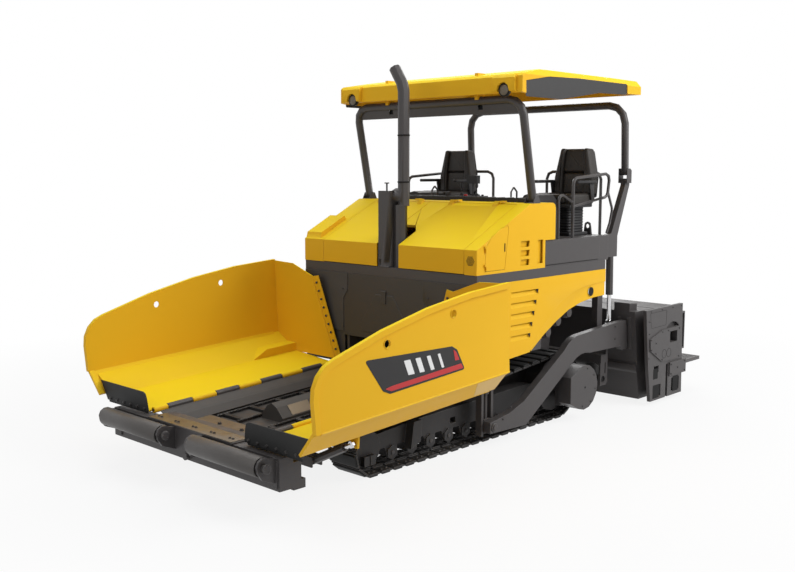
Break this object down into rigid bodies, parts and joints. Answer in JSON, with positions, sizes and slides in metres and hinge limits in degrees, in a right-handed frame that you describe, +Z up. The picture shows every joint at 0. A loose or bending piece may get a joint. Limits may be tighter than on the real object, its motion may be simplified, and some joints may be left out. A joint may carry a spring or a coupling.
{
  "type": "tracked asphalt paver",
  "caption": "Self-propelled road paver on tracks: hopper with folding wings, slat conveyors, augers, canopied deck and floating screed on tow arms.",
  "frame": {"origin": "on the ground below the middle of the whole length, on the centre line", "axes": "+X forward, +Y left, +Z up"},
  "size_m": [6.66, 3.306, 3.735],
  "materials": {
    "yellow_paint": "glossy",
    "dark_paint": "satin",
    "track_steel": "worn",
    "rubber": "matte",
    "chrome": "polished",
    "seat_cover": "satin",
    "black_plastic": "matte",
    "lamp_glass": "polished",
    "signal_red": "glossy",
    "badge_white": "satin"
  },
  "bodies": {
    "chassis": {"main_frame": "dark_paint", "push_beam": "dark_paint", "conveyor_floor": "dark_paint", "conveyor_chains": "track_steel", "hopper_rails": "dark_paint", "track_left": "track_steel", "track_right": "track_steel", "track_frames": "dark_paint", "drive_covers": "dark_paint", "bulkhead": "dark_paint", "deck": "dark_paint", "side_panels": "yellow_paint", "hood": "yellow_paint", "engine": "dark_paint", "exhaust": "dark_paint", "grille": "black_plastic", "console": "black_plastic", "seats": "seat_cover", "guard_rails": "dark_paint", "rear_legs": "dark_paint", "tow_guides": "dark_paint", "hoop_feet": "dark_paint"},
    "push_roller_left": {"push_roller_left": "dark_paint"},
    "wing_left": {"wing_left": "yellow_paint", "front_flap_left": "rubber"},
    "wing_barrel_left": {"wing_barrel_left": "dark_paint"},
    "wing_rod_left": {"wing_rod_left": "chrome"},
    "hood_door_left": {"hood_door_left": "yellow_paint"},
    "lift_barrel_left": {"lift_barrel_left": "dark_paint"},
    "lift_rod_left": {"lift_rod_left": "chrome"},
    "screed_extension_left": {"screed_extension_left": "dark_paint"},
    "auger_left": {"auger_left": "track_steel"},
    "push_roller_right": {"push_roller_right": "dark_paint"},
    "wing_right": {"wing_right": "yellow_paint", "front_flap_right": "rubber"},
    "wing_barrel_right": {"wing_barrel_right": "dark_paint"},
    "wing_rod_right": {"wing_rod_right": "chrome"},
    "hood_door_right": {"hood_door_right": "yellow_paint"},
    "lift_barrel_right": {"lift_barrel_right": "dark_paint"},
    "lift_rod_right": {"lift_rod_right": "chrome"},
    "screed_extension_right": {"screed_extension_right": "dark_paint"},
    "auger_right": {"auger_right": "track_steel"},
    "hood_lid_left": {"hood_lid_left": "yellow_paint"},
    "hood_lid_right": {"hood_lid_right": "yellow_paint"},
    "front_hoop": {"front_hoop": "dark_paint", "visor": "black_plastic"},
    "roof": {"roof": "yellow_paint", "roof_lamps": "lamp_glass"},
    "rear_hoop": {"rear_hoop": "dark_paint"},
    "tow_carriages": {"tow_carriages": "dark_paint"},
    "screed": {"screed": "dark_paint", "tow_arms": "dark_paint"},
    "auger_frame": {"auger_frame": "dark_paint"}
  },
  "joints": [
    {"name": "push_roller_left_turn", "type": "hinge", "parent": "chassis", "child": "push_roller_left", "pos_m": [3.248, 0.68, 0.442], "axis": [0, 1, 0], "continuous": true},
    {"name": "wing_left_fold", "type": "hinge", "parent": "chassis", "child": "wing_left", "pos_m": [3.13, 0.72, 0.52], "axis": [0.9985, 0, -0.0541], "range_deg": [0, 58]},
    {"name": "wing_barrel_left_turn", "type": "hinge", "parent": "chassis", "child": "wing_barrel_left", "pos_m": [2.43, 0.8, 0.25], "axis": [0.9985, 0, -0.0541], "range_deg": [0, 43.4]},
    {"name": "wing_rod_left_slide", "type": "slide", "parent": "wing_barrel_left", "child": "wing_rod_left", "axis": [0.0238, 0.8979, 0.4396], "range_m": [0, 0.25976]},
    {"name": "hood_door_left_open", "type": "hinge", "parent": "chassis", "child": "hood_door_left", "pos_m": [0.643, 1.21, 1.941], "axis": [0, 0, -1], "range_deg": [0, 100]},
    {"name": "lift_barrel_left_turn", "type": "hinge", "parent": "chassis", "child": "lift_barrel_left", "pos_m": [-1.836, 1.015, 1.829], "axis": [0, 1, 0], "range_deg": [-12, 4]},
    {"name": "lift_rod_left_slide", "type": "slide", "parent": "lift_barrel_left", "child": "lift_rod_left", "axis": [-0.0219, 0, -0.9998], "range_m": [-0.28, 0.05]},
    {"name": "screed_extension_left_slide", "type": "slide", "parent": "screed", "child": "screed_extension_left", "axis": [0, 1, 0], "range_m": [0, 1]},
    {"name": "auger_left_turn", "type": "hinge", "parent": "auger_frame", "child": "auger_left", "pos_m": [-1.72, 0.56, 0.33], "axis": [0, 1, 0], "continuous": true},
    {"name": "push_roller_right_turn", "type": "hinge", "parent": "chassis", "child": "push_roller_right", "pos_m": [3.248, -0.68, 0.442], "axis": [0, 1, 0], "continuous": true},
    {"name": "wing_right_fold", "type": "hinge", "parent": "chassis", "child": "wing_right", "pos_m": [3.13, -0.72, 0.52], "axis": [-0.9985, 0, 0.0541], "range_deg": [0, 58]},
    {"name": "wing_barrel_right_turn", "type": "hinge", "parent": "chassis", "child": "wing_barrel_right", "pos_m": [2.43, -0.8, 0.25], "axis": [-0.9985, 0, 0.0541], "range_deg": [0, 43.4]},
    {"name": "wing_rod_right_slide", "type": "slide", "parent": "wing_barrel_right", "child": "wing_rod_right", "axis": [0.0238, -0.8979, 0.4396], "range_m": [0, 0.25976]},
    {"name": "hood_door_right_open", "type": "hinge", "parent": "chassis", "child": "hood_door_right", "pos_m": [0.643, -1.21, 1.941], "axis": [0, 0, 1], "range_deg": [0, 100]},
    {"name": "lift_barrel_right_turn", "type": "hinge", "parent": "chassis", "child": "lift_barrel_right", "pos_m": [-1.836, -1.015, 1.829], "axis": [0, 1, 0], "range_deg": [-12, 4]},
    {"name": "lift_rod_right_slide", "type": "slide", "parent": "lift_barrel_right", "child": "lift_rod_right", "axis": [-0.0219, 0, -0.9998], "range_m": [-0.28, 0.05]},
    {"name": "screed_extension_right_slide", "type": "slide", "parent": "screed", "child": "screed_extension_right", "axis": [0, -1, 0], "range_m": [0, 1]},
    {"name": "auger_right_turn", "type": "hinge", "parent": "auger_frame", "child": "auger_right", "pos_m": [-1.72, -0.56, 0.33], "axis": [0, 1, 0], "continuous": true},
    {"name": "hood_lid_left_open", "type": "hinge", "parent": "chassis", "child": "hood_lid_left", "pos_m": [-0.037, 0.226, 2.372], "axis": [0, -1, 0], "range_deg": [0, 50]},
    {"name": "hood_lid_right_open", "type": "hinge", "parent": "chassis", "child": "hood_lid_right", "pos_m": [-0.037, -0.814, 2.372], "axis": [0, -1, 0], "range_deg": [0, 50]},
    {"name": "canopy_fold", "type": "hinge", "parent": "chassis", "child": "front_hoop", "pos_m": [-0.17, 0, 2.405], "axis": [0, -1, 0], "range_deg": [0, 35]},
    {"name": "roof_turn", "type": "hinge", "parent": "front_hoop", "child": "roof", "pos_m": [0.025, 0, 3.37], "axis": [0, 1, 0], "range_deg": [0, 29.75]},
    {"name": "rear_hoop_fold", "type": "hinge", "parent": "chassis", "child": "rear_hoop", "pos_m": [-1.965, 0, 2.66], "axis": [0, -1, 0], "range_deg": [0, 50.45]},
    {"name": "tow_point_lift", "type": "slide", "parent": "chassis", "child": "tow_carriages", "axis": [0, 0, 1], "range_m": [0, 0.2]},
    {"name": "screed_lift", "type": "hinge", "parent": "tow_carriages", "child": "screed", "pos_m": [0.41, 0, 0.205], "axis": [0, 1, 0], "range_deg": [-1, 7]},
    {"name": "auger_lift", "type": "slide", "parent": "chassis", "child": "auger_frame", "axis": [0, 0, 1], "range_m": [0, 0.15]}
  ],
  "couplings": [
    {"joint": "wing_barrel_left_turn", "follows": "wing_left_fold", "ratio": 0.74828},
    {"joint": "wing_rod_left_slide", "follows": "wing_left_fold", "m_per_rad": 0.25661},
    {"joint": "lift_barrel_left_turn", "follows": "screed_lift", "ratio": -1.399},
    {"joint": "lift_rod_left_slide", "follows": "screed_lift", "m_per_rad": -2.1601},
    {"joint": "wing_barrel_right_turn", "follows": "wing_right_fold", "ratio": 0.74828},
    {"joint": "wing_rod_right_slide", "follows": "wing_right_fold", "m_per_rad": 0.25661},
    {"joint": "lift_barrel_right_turn", "follows": "screed_lift", "ratio": -1.399},
    {"joint": "lift_rod_right_slide", "follows": "screed_lift", "m_per_rad": -2.1601},
    {"joint": "roof_turn", "follows": "canopy_fold", "ratio": 0.84988},
    {"joint": "rear_hoop_fold", "follows": "canopy_fold", "ratio": 1.4414}
  ]
}
